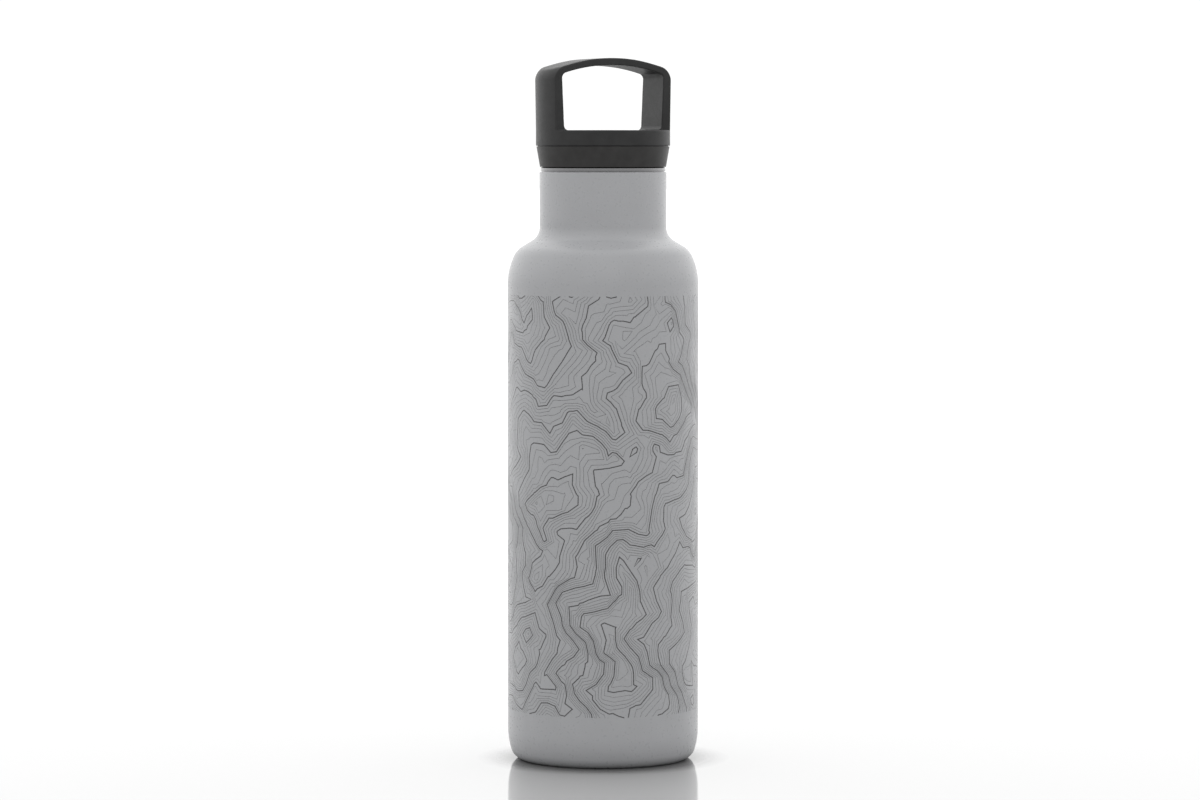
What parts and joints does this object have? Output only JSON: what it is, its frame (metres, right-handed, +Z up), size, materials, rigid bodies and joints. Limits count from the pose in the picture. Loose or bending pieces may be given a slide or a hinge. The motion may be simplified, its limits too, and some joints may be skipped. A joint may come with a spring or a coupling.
{
  "type": "insulated water bottle",
  "caption": "Double-walled steel drinking bottle with a narrow neck, an engraved map-contour body and a screw lid with a carry loop.",
  "frame": {"origin": "centre of the circle that the bottle stands on", "axes": "+Z up along the bottle's axis, X across the two legs of the carry loop, Y through the loop's opening"},
  "size_m": [0.073, 0.073, 0.2684],
  "materials": {
    "powder_coat": "fine satin powder coat, engraved down to bare steel",
    "stainless": "brushed",
    "lid_plastic": "fine matte texture",
    "silicone": "matte",
    "foam": "closed cell foam",
    "copper_foil": "bright foil",
    "getter_metal": "sintered, dull",
    "sealing_glass": "dull glass solder"
  },
  "bodies": {
    "vessel": {"outer_shell": "powder_coat", "outer_base": "stainless", "base_cover": "stainless", "vacuum_seal": "sealing_glass", "getter": "getter_metal", "getter_clip": "stainless", "inner_liner": "stainless", "liner_bottom": "stainless", "foil_wrap": "copper_foil"},
    "seal": {"lid_gasket": "silicone"},
    "lid": {"lid_shell": "lid_plastic", "plug_body": "lid_plastic", "plug_foam": "foam", "plug_disc": "lid_plastic"}
  },
  "joints": [
    {"name": "lid_lift", "type": "slide", "parent": "vessel", "child": "seal", "axis": [0, 0, 1], "range_m": [0, 0.0203]},
    {"name": "lid_turn", "type": "hinge", "parent": "seal", "child": "lid", "pos_m": [0, 0, 0.229], "axis": [0, 0, 1], "range_deg": [0, 1620]}
  ],
  "couplings": [
    {"joint": "lid_lift", "follows": "lid_turn", "m_per_rad": 0.0007162}
  ]
}
